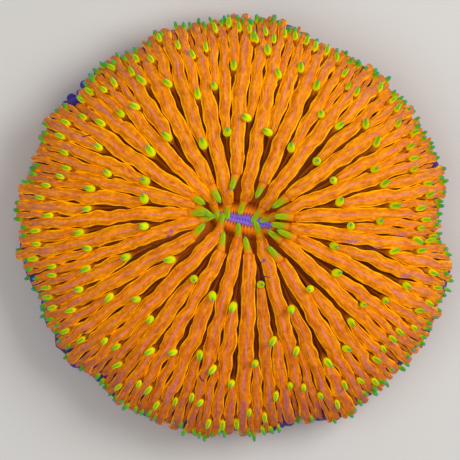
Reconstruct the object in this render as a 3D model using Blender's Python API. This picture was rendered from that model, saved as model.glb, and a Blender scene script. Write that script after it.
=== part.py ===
"""A mushroom coral: one free-living polyp, a low round dome of fleshy ridges around a slit mouth.

The whole animal grew as one piece, so it is one closed solid. It is a sphere's grid of rings and
columns moved onto the pleated shape: the north pole is the floor of the mouth, the south pole is
the middle of the flat scar it rests on, and each column is a crest or a foot of one ridge.
"""

import math

import bmesh
import bpy
from mathutils import Vector

MM = 0.001

# Plan, in millimetres.
MEAN_RADIUS = 19.4
MOUTH_CENTRE = (1.0, 0.7)
MOUTH_HALF_LENGTH = 2.6
MOUTH_TILT = math.radians(-12)

# Where the round plate is nicked (negative) or bulges: direction and spread in degrees, depth in mm.
RIM_WAVES = [
    (0, 5, -0.6),
    (15, 8, 0.55),
    (60, 14, -0.45),
    (120, 6, -0.8),
    (140, 6, -0.45),
    (180, 16, 0.35),
    (225, 8, -0.35),
    (285, 9, -0.45),
    (308, 12, 0.45),
    (338, 12, 1.0),
]

# Heights, in millimetres.
CROWN_HEIGHT = 10.3
RIM_HEIGHT = 3.6
DOME_SQUARENESS = 3.0
MOUTH_DIP = 2.4
MOUTH_DIP_REACH = 2.6
MOUTH_FLOOR = 5.6
VALLEY_DEPTH = 2.0
VALLEY_DEPTH_AT_RIM = 1.2
VALLEY_DEPTH_SHARE_AT_MOUTH = 0.25
VALLEY_DEPTH_FULL_FROM = 2.25
VALLEY_CLOSING_POWER = 24

# The flat scar under the plate, as a share of the plate's radius, and how squarely the underside
# turns up from it to the rim.
SCAR_SHARE = 0.62
UNDERSIDE_SQUARENESS = 2.2

# The 24 large ridges, anticlockwise from the right: degrees at the rim, degrees near the mouth,
# and the distance from the mouth's line at which the ridge starts, in mm.
LARGE_RIDGES = [
    (4, 3, 2.8),
    (13.5, 17, 3.4),
    (31, 30.5, 0.9),
    (46, 45, 3.7),
    (63, 61.5, 1.1),
    (78, 77.5, 3.4),
    (91, 93.5, 1.3),
    (101.5, 107.5, 3.8),
    (116, 123, 0.9),
    (133.5, 139.5, 3.5),
    (147, 152.5, 1.3),
    (161, 165.5, 4.4),
    (177.5, 175.5, 3.5),
    (193, 186.5, 4.2),
    (207.5, 199, 2.8),
    (218.5, 214, 4.1),
    (235.5, 232.5, 1.1),
    (251, 250.5, 3.0),
    (267.5, 267.5, 1.3),
    (281.5, 284.5, 2.6),
    (299.5, 304.5, 1.1),
    (315.5, 319.5, 4.3),
    (331.5, 336.5, 2.6),
    (346, 350.5, 4.0),
]
# One middle ridge in each gap between them: its place as a share of the gap, and its start.
MIDDLE_RIDGES = [
    (0.41, 9.5),
    (0.45, 8.4),
    (0.43, 8.8),
    (0.43, 8.4),
    (0.45, 7.6),
    (0.49, 8.3),
    (0.50, 9.3),
    (0.46, 8.0),
    (0.50, 7.4),
    (0.54, 9.8),
    (0.47, 10.0),
    (0.52, 9.2),
    (0.40, 8.9),
    (0.55, 8.6),
    (0.47, 10.9),
    (0.45, 7.1),
    (0.54, 7.0),
    (0.49, 7.3),
    (0.45, 7.7),
    (0.46, 6.0),
    (0.45, 8.9),
    (0.42, 8.5),
    (0.42, 9.2),
    (0.45, 7.9),
]
# One small ridge in each of the 48 gaps that those leave: its start.
SMALL_RIDGE_STARTS = (
    [15.5, 12.2, 13.3, 12.8, 12.5, 13.7, 14.0, 11.9, 11.9, 13.7, 14.7, 13.5]
    + [15.5, 16.6, 13.9, 12.4, 11.9, 14.0, 15.4, 14.0, 14.6, 15.4, 14.5, 12.8]
    + [13.9, 14.0, 14.7, 14.2, 14.7, 16.2, 13.8, 12.0, 12.3, 14.5, 13.6, 12.7]
    + [13.7, 15.0, 13.1, 11.1, 12.6, 14.7, 14.8, 13.1, 13.2, 14.7, 15.7, 13.5]
)

# A ridge's bend fades out over this reach, in mm from the mouth's line.
BEND_ENDS_AT = 17.5
BEND_LENGTH = 12.0
BEND_POWER = 1.6

# Ridge sizes, in millimetres.
LARGE_WIDTH = 1.0
MIDDLE_WIDTH = 0.9
MOST_OF_GAP = 0.36
FOOT_PLACES = (0.33, 0.67)
SMALL_CREST_DROP = 0.15

# How far the crests stand out of the rim and the feet draw in, in mm, and how late that begins.
CREST_OUTREACH = 0.25
FOOT_INSET = 0.35
RIM_SCALLOP_POWER = 12

# The pointed head at a ridge's inner end: half width, run up to it, and its rise and lean outward.
HEAD_HALF_WIDTH = 0.16
HEAD_RUN = 0.55
NEAREST_HEAD = 0.3
NEAREST_HEAD_FRONT = 0.2
INNER_HEAD = (0.55, -1.1)
MIDDLE_HEAD = (0.95, -0.1)
OUTER_HEAD = (0.60, 0.35)

# The grid: rings as shares of the way from the mouth's line to the rim, then the underside's.
TOP_RINGS = [0.03, 0.08, 0.15, 0.23, 0.31, 0.39, 0.47, 0.55]
TOP_RINGS += [0.62, 0.69, 0.76, 0.83, 0.90, 0.955, 0.985, 1.0]
UNDER_RINGS = [0.985, 0.93, 0.80, SCAR_SHARE]
SECTORS = 48
COLUMNS_PER_SECTOR = 5
JOINED_RINGS = 4

FLESH_COLOUR = (0.72, 0.26, 0.02, 1.0)
FLESH_ROUGHNESS = 0.45


def clear_scene():
    for thing in list(bpy.data.objects):
        bpy.data.objects.remove(thing, do_unlink=True)


def rim_radius(direction):
    """The plate's radius about its own centre in one direction."""
    radius = MEAN_RADIUS
    for degrees, spread, depth in RIM_WAVES:
        off = math.degrees(direction) - degrees
        off = (off + 180) % 360 - 180
        radius += depth * math.exp(-((off / spread) ** 2))
    return radius


def plan(distance, path):
    """The point at a distance from the mouth's line along a path: the paths fan out from the slit."""
    along = math.hypot(MOUTH_HALF_LENGTH, distance) * math.cos(path)
    across = distance * math.sin(path)
    cos, sin = math.cos(MOUTH_TILT), math.sin(MOUTH_TILT)
    x = MOUTH_CENTRE[0] + along * cos - across * sin
    y = MOUTH_CENTRE[1] + along * sin + across * cos
    return x, y


def spread_of_paths(distance, path):
    """Millimetres across the paths for each radian, at one point."""
    return math.hypot(distance, MOUTH_HALF_LENGTH * math.sin(path))


def path_at(place, distance):
    """The path of a place counted in large ridges, at a distance from the mouth's line."""
    bend = min(1.3, max(0.0, (BEND_ENDS_AT - distance) / BEND_LENGTH)) ** BEND_POWER
    index = math.floor(place)
    turns = []
    for step in (index, index + 1):
        at_rim, near_mouth, _ = LARGE_RIDGES[step % len(LARGE_RIDGES)]
        whole_turns = 360 * (step // len(LARGE_RIDGES))
        turns.append(whole_turns + at_rim + (near_mouth - at_rim) * bend)
    share = place - index
    return math.radians(turns[0] * (1 - share) + turns[1] * share)


def distance_to_rim(place):
    """How far the path of a place runs before it leaves the plate."""
    near, far = 10.0, 26.0
    for _ in range(40):
        middle = (near + far) / 2
        x, y = plan(middle, path_at(place, middle))
        if math.hypot(x, y) < rim_radius(math.atan2(y, x)):
            near = middle
        else:
            far = middle
    return near


def crest_height(distance, share):
    dome = RIM_HEIGHT + (CROWN_HEIGHT - RIM_HEIGHT) * math.sqrt(max(0.0, 1 - share**DOME_SQUARENESS))
    return dome - MOUTH_DIP * math.exp(-((distance / MOUTH_DIP_REACH) ** 2))


def valley_height(distance, share):
    depth = VALLEY_DEPTH + (VALLEY_DEPTH_AT_RIM - VALLEY_DEPTH) * share**3
    deepening = distance / VALLEY_DEPTH_FULL_FROM
    depth *= min(1.0, VALLEY_DEPTH_SHARE_AT_MOUTH + (1 - VALLEY_DEPTH_SHARE_AT_MOUTH) * deepening)
    depth *= max(0.0, 1 - share**VALLEY_CLOSING_POWER)
    return crest_height(distance, share) - depth


def ridges():
    """The 48 large and middle ridges in order: place, start, width, head, and the distance up to
    which a ridge has no neighbour of the next size and so twice the room."""
    found = []
    for index, (large, middle) in enumerate(zip(LARGE_RIDGES, MIDDLE_RIDGES)):
        alone_to = min(MIDDLE_RIDGES[index - 1][1], middle[1]) - HEAD_RUN
        found.append((float(index), large[2], LARGE_WIDTH, INNER_HEAD, alone_to))
        found.append((index + middle[0], middle[1], MIDDLE_WIDTH, MIDDLE_HEAD, 0.0))
    return found


def rings_with_head(start, reach):
    """Each ring's distance in one column, with three of them moved to where the ridge's head stands."""
    plain = [share * reach for share in TOP_RINGS]
    nearest = min(range(2, len(plain) - 3), key=lambda ring: abs(plain[ring] - start))
    before, after = max(NEAREST_HEAD_FRONT, start - HEAD_RUN), start + HEAD_RUN
    moved = []
    for ring, distance in enumerate(plain):
        if ring < nearest:
            moved.append(distance * before / plain[nearest - 1])
        elif ring == nearest:
            moved.append(start)
        else:
            left = (reach - after) / (reach - plain[nearest + 1])
            moved.append(reach - (reach - distance) * left)
    return moved, nearest


def placed(distance, path, reach, outset):
    """A point of the upper side, pushed out or in where it nears the rim."""
    x, y = plan(distance, path)
    push = outset * (distance / reach) ** RIM_SCALLOP_POWER
    away = math.atan2(y, x)
    return x + push * math.cos(away), y + push * math.sin(away)


def crest_column(place, start, head, half_width, side, drop, alone_to):
    """The upper points of one edge of a ridge's crest, from the mouth to the rim."""
    reach = distance_to_rim(place)
    distances, head_ring = rings_with_head(start, reach)
    rise, lean = head
    column = []
    for ring, distance in enumerate(distances):
        share = distance / reach
        if ring < head_ring:
            height = valley_height(distance, share)
        else:
            height = crest_height(distance, share) - drop
        reached, half = distance, half_width
        if ring == head_ring:
            height += rise
            reached = max(distance + lean, NEAREST_HEAD)
            half = min(half, HEAD_HALF_WIDTH)
        path = path_at(place, reached)
        room = path_at(place + 0.25, reached) - path_at(place - 0.25, reached)
        if reached < alone_to:
            room *= 2
        path += side * min(half / spread_of_paths(reached, path), MOST_OF_GAP * room)
        column.append((*placed(reached, path, reach, CREST_OUTREACH), height))
    return column


def foot_column(place):
    """The upper points of a valley between two ridges, from the mouth to the rim."""
    reach = distance_to_rim(place)
    column = []
    for share in TOP_RINGS:
        distance = share * reach
        x, y = placed(distance, path_at(place, distance), reach, -FOOT_INSET)
        column.append((x, y, valley_height(distance, share)))
    return column


def with_underside(column):
    """Adds the underside's points to a column, drawn in from its rim to the flat scar."""
    x, y, _ = column[-1]
    for share in UNDER_RINGS:
        run = (share - SCAR_SHARE) / (1 - SCAR_SHARE)
        rise = 1 - math.sqrt(1 - run**UNDERSIDE_SQUARENESS)
        column.append((x * share, y * share, RIM_HEIGHT * rise))
    return column


def sector_columns(index, found):
    """The five columns of one sector: a ridge's two crest edges, a foot, a small crest and a foot."""
    place, start, width, head, alone_to = found[index]
    next_place = found[(index + 1) % len(found)][0]
    if index == len(found) - 1:
        next_place += len(LARGE_RIDGES)
    gap = next_place - place
    small_start = SMALL_RIDGE_STARTS[index]
    columns = [
        crest_column(place, start, head, width / 2, -1, 0.0, alone_to),
        crest_column(place, start, head, width / 2, 1, 0.0, alone_to),
        foot_column(place + FOOT_PLACES[0] * gap),
        crest_column(place + 0.5 * gap, small_start, OUTER_HEAD, 0.0, 0, SMALL_CREST_DROP, 0.0),
        foot_column(place + FOOT_PLACES[1] * gap),
    ]
    return [with_underside(column) for column in columns]


def join_columns_near_mouth(mesh, grid):
    """Near the mouth there are no middle or small ridges, so their columns become one valley."""
    targets = {}
    columns_per_gap = 2 * COLUMNS_PER_SECTOR
    for ring in range(JOINED_RINGS):
        for first in range(0, len(grid), columns_per_gap):
            kept = grid[first + COLUMNS_PER_SECTOR][ring]
            for column in range(first + 2, first + columns_per_gap):
                if grid[column][ring] != kept:
                    targets[grid[column][ring]] = kept
    bmesh.ops.weld_verts(mesh, targetmap=targets)


def coral_mesh():
    columns_in_all = SECTORS * COLUMNS_PER_SECTOR
    rings_in_all = len(TOP_RINGS) + len(UNDER_RINGS)
    mesh = bmesh.new()
    bmesh.ops.create_uvsphere(mesh, u_segments=columns_in_all, v_segments=rings_in_all + 1, radius=1.0)

    found = ridges()
    columns = [column for index in range(SECTORS) for column in sector_columns(index, found)]
    grid = [[None] * rings_in_all for _ in range(columns_in_all)]
    for vertex in mesh.verts:
        ring = round(math.acos(max(-1.0, min(1.0, vertex.co.z))) / math.pi * (rings_in_all + 1))
        turn = math.atan2(vertex.co.y, vertex.co.x) % math.tau
        column = round(turn / math.tau * columns_in_all) % columns_in_all
        if ring == 0:
            vertex.co = Vector((*MOUTH_CENTRE, MOUTH_FLOOR)) * MM
        elif ring == rings_in_all + 1:
            vertex.co = Vector((0.0, 0.0, 0.0))
        else:
            vertex.co = Vector(columns[column][ring - 1]) * MM
            grid[column][ring - 1] = vertex
    join_columns_near_mouth(mesh, grid)
    bmesh.ops.triangulate(mesh, faces=mesh.faces[:])
    bmesh.ops.recalc_face_normals(mesh, faces=mesh.faces[:])
    return mesh


def centre_on_origin(mesh):
    """Puts the middle of the bounding box's bottom at the origin."""
    for axis in (0, 1):
        values = [vertex.co[axis] for vertex in mesh.verts]
        middle = (min(values) + max(values)) / 2
        for vertex in mesh.verts:
            vertex.co[axis] -= middle


def flesh_material():
    material = bpy.data.materials.new("coral_flesh")
    material.use_nodes = True
    shader = material.node_tree.nodes["Principled BSDF"]
    shader.inputs["Base Color"].default_value = FLESH_COLOUR
    shader.inputs["Roughness"].default_value = FLESH_ROUGHNESS
    shader.inputs["Metallic"].default_value = 0.0
    return material


def build():
    clear_scene()
    mesh = coral_mesh()
    centre_on_origin(mesh)
    data = bpy.data.meshes.new("coral")
    mesh.to_mesh(data)
    mesh.free()
    data.materials.append(flesh_material())
    data.shade_smooth()
    coral = bpy.data.objects.new("coral", data)
    collection = bpy.data.collections.new("mushroom_coral")
    bpy.context.scene.collection.children.link(collection)
    collection.objects.link(coral)


build()
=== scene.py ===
"""The looks of a living mushroom coral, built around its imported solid.

Lengths are in millimetres until a mesh is made. The ridges follow the same plan as the solid's.
"""

import math
import random
from functools import partial

import bmesh
import bpy
import numpy as np
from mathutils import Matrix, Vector


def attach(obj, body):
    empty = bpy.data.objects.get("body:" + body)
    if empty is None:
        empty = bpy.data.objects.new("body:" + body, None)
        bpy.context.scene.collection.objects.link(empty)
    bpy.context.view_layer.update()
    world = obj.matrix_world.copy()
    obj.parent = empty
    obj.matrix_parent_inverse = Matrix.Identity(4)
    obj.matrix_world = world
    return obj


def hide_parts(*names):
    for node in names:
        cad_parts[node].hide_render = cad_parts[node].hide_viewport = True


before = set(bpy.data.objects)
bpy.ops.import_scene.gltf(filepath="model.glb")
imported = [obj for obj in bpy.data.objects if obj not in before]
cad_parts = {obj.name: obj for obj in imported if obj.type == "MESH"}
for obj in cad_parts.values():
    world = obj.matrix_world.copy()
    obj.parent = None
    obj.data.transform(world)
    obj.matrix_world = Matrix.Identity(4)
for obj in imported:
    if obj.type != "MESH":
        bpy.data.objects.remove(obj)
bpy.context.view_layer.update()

# The plate. The living animal is one polyp on a low lime plate, with thin flesh over it. From
# above, only the floors of its valleys show, deep red-brown between the ridges, partly painted
# shade. Its edge is a violet-blue fold of flesh, and the underside is ribbed round a pale flat scar.

MM = 0.001
PLATE_CENTRE = (0.1, 0.0)
MEAN_RADIUS = 19.4
MOUTH_CENTRE = (1.0, 0.7)
MOUTH_HALF_LENGTH = 2.6
MOUTH_TILT = math.radians(-12)

# Nicks (negative) and bulges of the rim: direction and spread in degrees, depth in mm.
RIM_WAVES = [
    (0, 5, -0.6), (15, 8, 0.55), (60, 14, -0.45), (120, 6, -0.8), (140, 6, -0.45), (180, 16, 0.35),
    (225, 8, -0.35), (285, 9, -0.45), (308, 12, 0.45), (338, 12, 1.0),
]
# Further swellings and nicks of the flesh that only show at the edge, in the same terms.
FLESH_WAVES = [
    (4, 5, -0.22), (10, 7, -0.1), (22, 6, -0.25), (26, 8, 0.32), (44, 4, 0.2), (56, 4, 0.3),
    (60, 5, -0.3), (66, 4, -0.28), (78, 5, 0.28), (100, 6, -0.52), (134, 5, -0.25), (140, 4, -0.15),
    (150, 6, 0.4), (164, 5, -0.25), (170, 6, 0.3), (190, 5, 0.25), (196, 8, -0.38), (200, 4, -0.4),
    (208, 5, -0.2), (220, 5, 0.25), (230, 8, -0.46), (250, 6, -0.35), (270, 5, -0.22), (270, 6, -0.35),
    (288, 4, -0.55), (298, 4, 0.2), (300, 5, 0.4), (312, 5, 0.2), (322, 5, 0.4), (330, 6, 0.35),
    (340, 4, -0.35), (346, 4, 0.22), (350, 5, 0.45),
]

CROWN_HEIGHT = 10.3
RIM_HEIGHT = 3.6
DOME_SQUARENESS = 3.0
MOUTH_DIP = 2.4
MOUTH_DIP_REACH = 2.6
CREST_OUTREACH = 0.25
RIM_SCALLOP_POWER = 12
SCAR_SHARE = 0.62
UNDERSIDE_SQUARENESS = 2.2

# The 24 large ridges: degrees at the rim, degrees near the mouth, and where each starts, in mm
# from the mouth's line.
LARGE_RIDGES = [
    (4, 3, 2.8), (13.5, 17, 3.4), (31, 30.5, 0.9), (46, 45, 3.7), (63, 61.5, 1.1), (78, 77.5, 3.4),
    (91, 93.5, 1.3), (101.5, 107.5, 3.8), (116, 123, 0.9), (133.5, 139.5, 3.5), (147, 152.5, 1.3),
    (161, 165.5, 4.4), (177.5, 175.5, 3.5), (193, 186.5, 4.2), (207.5, 199, 2.8), (218.5, 214, 4.1),
    (235.5, 232.5, 1.1), (251, 250.5, 3.0), (267.5, 267.5, 1.3), (281.5, 284.5, 2.6),
    (299.5, 304.5, 1.1), (315.5, 319.5, 4.3), (331.5, 336.5, 2.6), (346, 350.5, 4.0),
]
# The middle ridges, one in each gap between those: the place as a share of the gap, and the start.
MIDDLE_RIDGES = (
    [(0.41, 9.5), (0.45, 8.4), (0.43, 8.8), (0.43, 8.4), (0.45, 7.6), (0.49, 8.3)]
    + [(0.50, 9.3), (0.46, 8.0), (0.50, 7.4), (0.54, 9.8), (0.47, 10.0), (0.52, 9.2)]
    + [(0.40, 8.9), (0.55, 8.6), (0.47, 10.9), (0.45, 7.1), (0.54, 7.0), (0.49, 7.3)]
    + [(0.45, 7.7), (0.46, 6.0), (0.45, 8.9), (0.42, 8.5), (0.42, 9.2), (0.45, 7.9)]
)
# One small ridge in each of the 48 gaps that those leave, and one rim ridge in each of the 96
# that are left then: where each starts.
SMALL_RIDGE_STARTS = (
    [15.5, 12.2, 13.3, 12.8, 12.5, 13.7, 14.0, 11.9, 11.9, 13.7, 14.7, 13.5]
    + [15.5, 16.6, 13.9, 12.4, 11.9, 14.0, 15.4, 14.0, 14.6, 15.4, 14.5, 12.8]
    + [13.9, 14.0, 14.7, 14.2, 14.7, 16.2, 13.8, 12.0, 12.3, 14.5, 13.6, 12.7]
    + [13.7, 15.0, 13.1, 11.1, 12.6, 14.7, 14.8, 13.1, 13.2, 14.7, 15.7, 13.5]
)
RIM_RIDGE_STARTS = (
    [16.6, 17.0, 15.9, 16.2, 15.7, 16.8, 16.8, 15.9, 16.1, 16.3, 17.2, 16.4]
    + [17.1, 17.2, 17.1, 15.3, 15.3, 16.0, 16.9, 17.0, 16.9, 17.2, 17.3, 17.3]
    + [16.6, 17.2, 16.5, 17.3, 17.4, 17.8, 17.5, 15.9, 15.6, 16.9, 18.1, 16.8]
    + [17.5, 16.7, 18.2, 16.9, 17.3, 18.0, 18.2, 17.2, 18.2, 18.0, 17.2, 16.5]
    + [16.9, 18.0, 18.4, 17.5, 18.7, 18.8, 19.2, 17.8, 18.0, 18.8, 19.0, 19.0]
    + [17.5, 19.0, 18.2, 16.7, 16.2, 17.3, 18.9, 17.7, 17.6, 18.5, 17.6, 16.7]
    + [17.1, 18.7, 18.6, 18.4, 17.5, 17.9, 16.1, 15.6, 16.1, 17.4, 18.6, 17.3]
    + [17.9, 18.7, 17.2, 17.1, 17.0, 17.1, 18.2, 17.7, 18.2, 18.4, 17.5, 16.0]
)
BEND_ENDS_AT = 17.5
BEND_LENGTH = 12.0
BEND_POWER = 1.6
# From this share of the way out, what stands on the plate turns from its path to straight outward.
STRAIGHTENS_FROM = 0.85
# A course's points, closer where it turns down at the rim: on the way there, there, and below.
# The first go on to a share of the way out.
POINTS_INWARD, POINTS_AT_RIM, POINTS_BELOW = 120, 90, 70
INWARD_UNTIL = 0.85

NEAREST_RIM, FARTHEST_RIM, HALVINGS = 10.0, 26.0, 30

# The plate's floor lies this deep under the crests, in mm, at each stage along a course: 0 is
# the mouth, 1 the rim and 2 the scar's edge.
STAGES = [0.0, 0.2, 0.75, 0.93, 1.0, 1.12, 1.3, 1.6, 2.0]
FLOOR_DEPTHS = [1.3, 1.5, 1.7, 1.1, 0.62, 0.42, 0.2, 0.05, 0.0]

PLATE_COLUMNS_PER_RIDGE = 4
PLATE_TOP_STAGES = list(np.linspace(0.02, 0.9, 17)) + [0.93, 0.955, 0.975, 0.99, 1.0]
PLATE_UNDER_STAGES = [1.03, 1.06] + list(np.linspace(1.1, 1.95, 18)) + [2.0]
RIB_HEIGHT = 0.11
FLOOR_FOLD_HEIGHT = 0.12
EDGE_FOLD = 0.34
EDGE_FOLD_STAGE, EDGE_FOLD_LENGTH = 1.03, 0.05
MOUTH_FLOOR_HEIGHT = 5.3
# The stage of the scar's middle, which sets only its colour.
SCAR_MIDDLE_STAGE = 2.4
# Where the violet-blue fold reaches out past the lobes: direction, spread in degrees, reach in mm.
FRINGES = [(139, 5, 0.5), (286, 5, 0.4), (222, 22, 0.35), (196, 8, 0.3), (338, 10, 0.15)]


def with_bumps(value, degrees, bumps):
    """A value with round bumps along the rim added: each has its direction, spread and size."""
    for middle, spread, size in bumps:
        off = (degrees - middle + 180) % 360 - 180
        value = value + size * np.exp(-((off / spread) ** 2))
    return value


def rim_radius(direction):
    """The plate's radius about its own centre in one direction."""
    return with_bumps(MEAN_RADIUS, np.degrees(direction), RIM_WAVES + FLESH_WAVES)


def plan(distance, path):
    """The points at distances from the mouth's line along a path: the paths fan out from the slit."""
    along = np.hypot(MOUTH_HALF_LENGTH, distance) * np.cos(path)
    across = distance * np.sin(path)
    cos, sin = math.cos(MOUTH_TILT), math.sin(MOUTH_TILT)
    x = MOUTH_CENTRE[0] + along * cos - across * sin
    y = MOUTH_CENTRE[1] + along * sin + across * cos
    return x, y


def path_at(place, distance):
    """The path of a place, counted in large ridges, at distances from the mouth's line."""
    bend = np.clip((BEND_ENDS_AT - distance) / BEND_LENGTH, 0.0, 1.3) ** BEND_POWER
    index = math.floor(place)
    turns = []
    for step in (index, index + 1):
        at_rim, near_mouth, _ = LARGE_RIDGES[step % len(LARGE_RIDGES)]
        whole_turns = 360 * (step // len(LARGE_RIDGES))
        turns.append(whole_turns + at_rim + (near_mouth - at_rim) * bend)
    share = place - index
    return np.radians(turns[0] * (1 - share) + turns[1] * share)


def distance_to_rim(place):
    """How far the path of a place runs before it leaves the plate, found by halving."""
    near, far = NEAREST_RIM, FARTHEST_RIM
    for _ in range(HALVINGS):
        middle = (near + far) / 2
        x, y = plan(middle, path_at(place, middle))
        if math.hypot(x, y) < rim_radius(math.atan2(y, x)):
            near = middle
        else:
            far = middle
    return near


def all_ridges():
    """Every ridge in order round the plate: its place, its start and its kind."""
    main = []
    for index, (large, middle) in enumerate(zip(LARGE_RIDGES, MIDDLE_RIDGES)):
        main.append((float(index), large[2], "large"))
        main.append((index + middle[0], middle[1], "middle"))
    for starts, kind in ((SMALL_RIDGE_STARTS, "small"), (RIM_RIDGE_STARTS, "rim")):
        denser = []
        for index, ridge in enumerate(main):
            following = main[index + 1][0] if index + 1 < len(main) else float(len(LARGE_RIDGES))
            denser.append(ridge)
            denser.append(((ridge[0] + following) / 2, starts[index], kind))
        main = denser
    return main


RIDGES = all_ridges()


def course(place):
    """The swollen coral's outline over one place, from the mouth over the rim to the scar.

    Gives, for closely spaced points: the stage, the position, the direction out of the flesh, the
    direction across it, the distance from the mouth's line and the length travelled.
    """
    reach = distance_to_rim(place)
    inward = np.linspace(0, INWARD_UNTIL, POINTS_INWARD)
    at_rim = np.sin(np.linspace(0.6, math.pi / 2, POINTS_AT_RIM)) ** (2 / 3)
    share = np.unique(np.concatenate([inward, at_rim]))
    distance = share * reach
    x, y = plan(distance, path_at(place, distance))
    z = RIM_HEIGHT + (CROWN_HEIGHT - RIM_HEIGHT) * np.sqrt(np.clip(1 - share**DOME_SQUARENESS, 0, 1))
    z = z - MOUTH_DIP * np.exp(-((distance / MOUTH_DIP_REACH) ** 2))
    away = np.hypot(x, y)
    push = 1 + CREST_OUTREACH * share**RIM_SCALLOP_POWER / away
    x, y = x * push, y * push

    turn = np.linspace(math.pi / 2, 0, POINTS_BELOW)[1:]
    run = np.sin(turn) ** (2 / UNDERSIDE_SQUARENESS)
    under = SCAR_SHARE + (1 - SCAR_SHARE) * run
    x = np.concatenate([x, x[-1] * under])
    y = np.concatenate([y, y[-1] * under])
    z = np.concatenate([z, RIM_HEIGHT * (1 - np.sqrt(np.clip(1 - run**UNDERSIDE_SQUARENESS, 0, 1)))])
    stage = np.concatenate([share, 2 - run])
    distance = np.concatenate([distance, reach * under])

    points = np.stack([x, y, z], axis=1)
    steps = np.linalg.norm(np.diff(points, axis=0), axis=1)
    travelled = np.concatenate([[0.0], np.cumsum(steps)])
    forward = np.gradient(points, travelled, axis=0)
    forward /= np.linalg.norm(forward, axis=1, keepdims=True)
    ahead = plan(distance + 0.01, path_at(place, distance + 0.01))
    here = plan(distance, path_at(place, distance))
    heading = np.stack([ahead[0] - here[0], ahead[1] - here[1]], axis=1)
    heading /= np.linalg.norm(heading, axis=1, keepdims=True)
    radial = points[:, :2] / np.linalg.norm(points[:, :2], axis=1, keepdims=True)
    blend = np.clip((stage - STRAIGHTENS_FROM) / (1 - STRAIGHTENS_FROM), 0, 1)[:, None]
    heading = heading * (1 - blend) + radial * blend
    heading /= np.linalg.norm(heading, axis=1, keepdims=True)
    across = np.stack([-heading[:, 1], heading[:, 0], np.zeros(len(stage))], axis=1)
    outward = np.cross(forward, across)
    outward /= np.linalg.norm(outward, axis=1, keepdims=True)
    points = points + np.array([*PLATE_CENTRE, 0.0])
    return {
        "stage": stage, "point": points, "outward": outward, "across": across, "distance": distance,
        "travelled": travelled, "reach": reach,
    }


def read_course(line, key, at, by="stage"):
    """The values of one column of a course at some stages or lengths travelled."""
    values = line[key]
    if values.ndim == 1:
        return np.interp(at, line[by], values)
    return np.stack([np.interp(at, line[by], values[:, axis]) for axis in range(3)], axis=-1)


def add_object(name, data):
    """An object in the scene from its mesh, curve, lamp or camera."""
    made = bpy.data.objects.new(name, data)
    bpy.context.scene.collection.objects.link(made)
    return made


def mesh_object(name, points, faces, edges=()):
    """A mesh object at the origin from points in millimetres."""
    mesh = bpy.data.meshes.new(name)
    mesh.from_pydata([tuple(point) for point in np.asarray(points) * MM], edges, faces)
    return add_object(name, mesh)


def ring_faces(columns, rings):
    """The faces between columns of points that stand side by side, each with a point on every ring."""
    faces = []
    for column in range(columns):
        beside = (column + 1) % columns
        for ring in range(rings - 1):
            here, there = column * rings + ring, beside * rings + ring
            faces.append((here, here + 1, there + 1, there))
    return faces


def set_attribute(made, name, values):
    """Stores one number or one direction for each point of a mesh."""
    values = np.asarray(values, dtype=np.float32)
    kind = "FLOAT" if values.ndim == 1 else "FLOAT_VECTOR"
    attribute = made.data.attributes.new(name, kind, "POINT")
    attribute.data.foreach_set("value" if values.ndim == 1 else "vector", values.ravel())


def plate_mesh():
    """The plate as rings of points from the mouth's floor over the rim to the middle of the scar."""
    count = len(RIDGES) * PLATE_COLUMNS_PER_RIDGE
    stages = np.array(PLATE_TOP_STAGES + PLATE_UNDER_STAGES)
    depths = np.interp(stages, STAGES, FLOOR_DEPTHS)
    places = [ridge[0] for ridge in RIDGES] + [float(len(LARGE_RIDGES))]
    rib_zone = np.interp(stages, [1.0, 1.12, 1.8, 1.97], [0.0, 1.0, 1.0, 0.0])
    floor_zone = np.interp(stages, [0.15, 0.4, 0.9, 1.0], [0.0, 1.0, 1.0, 0.0])
    fold_zone = np.exp(-(((stages - EDGE_FOLD_STAGE) / EDGE_FOLD_LENGTH) ** 2))
    points = []
    for column in range(count):
        order = column / PLATE_COLUMNS_PER_RIDGE
        line = course(float(np.interp(order, range(len(places)), places)))
        rib = math.cos(math.tau * order) + 0.5 * math.cos(math.tau * order / 2)
        turn = math.tau * column / count
        waver = 0.3 * math.sin(5 * turn + 1) + 0.3 * math.sin(31 * turn) + 0.3 * math.sin(67 * turn)
        rim_point = read_course(line, "point", [1.0])[0]
        reached = with_bumps(0.0, math.degrees(math.atan2(rim_point[1], rim_point[0])), FRINGES)
        fold = EDGE_FOLD * (1 + waver) + reached * (1 + 0.5 * math.sin(61 * turn))
        lift = RIB_HEIGHT * rib * rib_zone - depths + fold * fold_zone
        lift = lift + FLOOR_FOLD_HEIGHT * math.cos(math.tau * order * 2) * floor_zone
        outward = read_course(line, "outward", stages)
        ring = read_course(line, "point", stages) + outward * lift[:, None]
        ring[:, 2] = np.maximum(ring[:, 2], 0.0)
        points.extend(ring)
    rings = len(stages)
    faces = ring_faces(count, rings)
    mouth_floor, scar_middle = len(points), len(points) + 1
    mouth_x, mouth_y = (mouth + centre for mouth, centre in zip(MOUTH_CENTRE, PLATE_CENTRE))
    points.extend([(mouth_x, mouth_y, MOUTH_FLOOR_HEIGHT), (*PLATE_CENTRE, 0.0)])
    for column in range(count):
        beside = (column + 1) % count
        faces.append((mouth_floor, column * rings, beside * rings))
        faces.append((scar_middle, beside * rings + rings - 1, column * rings + rings - 1))
    plate = mesh_object("plate", points, faces)
    set_attribute(plate, "stage", list(stages) * count + [0.0, SCAR_MIDDLE_STAGE])
    turns = np.repeat(np.arange(count) / PLATE_COLUMNS_PER_RIDGE, rings) * math.tau / len(RIDGES)
    ring = np.stack([np.cos(turns), np.sin(turns), np.zeros(len(turns))], axis=1)
    set_attribute(plate, "round", np.concatenate([ring, np.zeros((2, 3))]))
    plate.data.shade_smooth()
    return plate


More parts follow.
